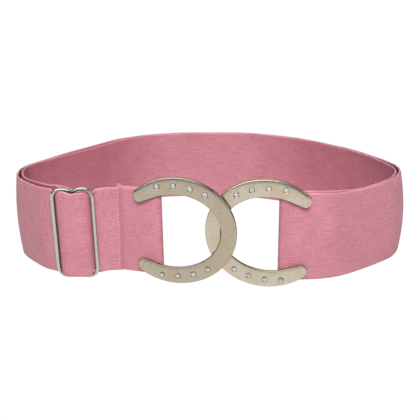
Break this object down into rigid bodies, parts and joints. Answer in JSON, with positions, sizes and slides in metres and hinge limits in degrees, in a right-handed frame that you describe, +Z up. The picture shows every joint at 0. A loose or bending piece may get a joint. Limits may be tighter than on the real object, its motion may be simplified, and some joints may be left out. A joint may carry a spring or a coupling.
{
  "type": "elastic waist belt",
  "caption": "Wide pink elastic waist belt, fastened, with an interlocking horseshoe clasp set with small stones and a wire slider.",
  "frame": {"origin": "on the surface the belt stands on, below the middle of its box", "axes": "+X to the right seen from the front, along the clasp; +Y from the clasp towards the back of the loop; +Z up, across the elastic's width"},
  "size_m": [0.2886, 0.1986, 0.0744],
  "materials": {
    "elastic": "woven elastic, fine ribs",
    "clasp_metal": "satin nickel plate",
    "slider_metal": "polished nickel plate",
    "stone": "clear cut stone"
  },
  "bodies": {
    "root": {"elastic_strap": "elastic", "slider": "slider_metal", "left_horseshoe": "clasp_metal", "right_horseshoe": "clasp_metal", "left_stone_1": "stone", "left_stone_2": "stone", "left_stone_3": "stone", "left_stone_4": "stone", "left_stone_5": "stone", "left_stone_6": "stone", "left_stone_7": "stone", "left_stone_8": "stone", "right_stone_1": "stone", "right_stone_2": "stone", "right_stone_3": "stone", "right_stone_4": "stone", "right_stone_5": "stone", "right_stone_6": "stone", "right_stone_7": "stone", "right_stone_8": "stone"}
  },
  "joints": []
}
